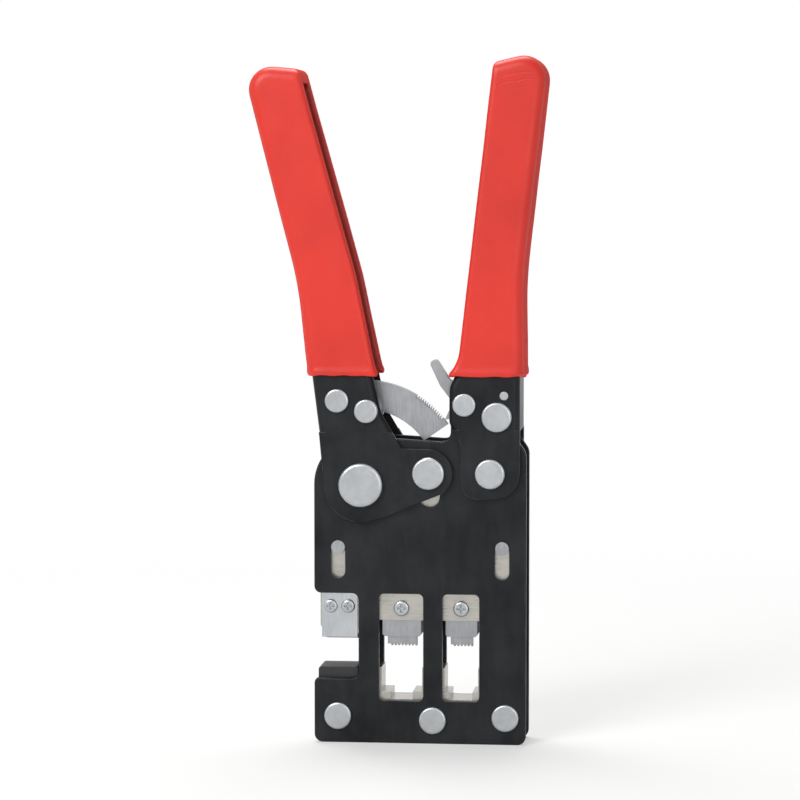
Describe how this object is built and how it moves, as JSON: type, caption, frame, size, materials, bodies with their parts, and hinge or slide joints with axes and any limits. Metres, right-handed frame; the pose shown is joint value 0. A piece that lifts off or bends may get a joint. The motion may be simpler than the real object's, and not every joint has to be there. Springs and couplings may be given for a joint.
{
  "type": "modular plug crimping tool",
  "caption": "Hand crimping tool for modular network and phone plugs, with a black plate head, a moving ram, wire cutter and stripper, a ratchet and two red vinyl-dipped channel handles.",
  "frame": {"origin": "centre of the flat nose face of the head", "axes": "+Z from the nose up to the handle tips, +X towards the fixed handle, -Y the front; stored open, standing on its nose"},
  "size_m": [0.0868, 0.024, 0.2003],
  "materials": {
    "black_oxide": "satin black oxide on stamped steel plate",
    "red_vinyl": "glossy dipped vinyl",
    "nickel_steel": "nickel-plated machined steel",
    "hardened_steel": "ground hardened steel",
    "blade_steel": "polished blade steel",
    "zinc_rivet": "zinc-plated rivet",
    "spring_steel": "drawn spring wire",
    "black_nylon": "moulded nylon"
  },
  "bodies": {
    "frame": {"front_plate": "black_oxide", "rear_plate": "black_oxide", "fixed_channel": "black_oxide", "fixed_grip": "red_vinyl", "die_block": "nickel_steel", "cut_anvil": "black_nylon", "nose_rivets": "zinc_rivet", "handle_rivets": "zinc_rivet", "handle_sleeves": "zinc_rivet", "main_pivot_pin": "zinc_rivet", "pivot_sleeve": "zinc_rivet", "pawl_pin": "zinc_rivet", "spring_anchor_pin": "zinc_rivet", "return_spring": "spring_steel", "pawl_spring": "spring_steel"},
    "moving_handle": {"moving_channel": "black_oxide", "moving_grip": "red_vinyl", "drive_pin": "zinc_rivet", "ratchet_sector": "hardened_steel", "sector_rivets": "zinc_rivet", "sector_sleeves": "zinc_rivet"},
    "ram": {"ram": "nickel_steel", "ram_guide_pins": "hardened_steel", "punch_8p": "hardened_steel", "punch_6p": "hardened_steel", "punch_screws": "zinc_rivet", "cutter_blade": "blade_steel", "stripper_blade": "blade_steel", "blade_screws": "zinc_rivet"},
    "pawl": {"ratchet_pawl": "hardened_steel"}
  },
  "joints": [
    {"name": "handle_close", "type": "hinge", "parent": "frame", "child": "moving_handle", "pos_m": [-0.017, 0, 0.076], "axis": [0, 1, 0], "range_deg": [0, 20], "stiffness_Nm_per_rad": 1.2, "springref_deg": -20.05},
    {"name": "ram_press", "type": "slide", "parent": "frame", "child": "ram", "axis": [0, 0, -1], "range_m": [0, 0.00696], "deforming": ["return_spring"]},
    {"name": "pawl_tilt", "type": "hinge", "parent": "frame", "child": "pawl", "pos_m": [0.01306, 0, 0.09949], "axis": [0, 1, 0], "range_deg": [-15, 15], "stiffness_Nm_per_rad": 0.02, "deforming": ["pawl_spring"]}
  ],
  "couplings": [
    {"joint": "ram_press", "follows": "handle_close", "m_per_rad": 0.019899}
  ]
}
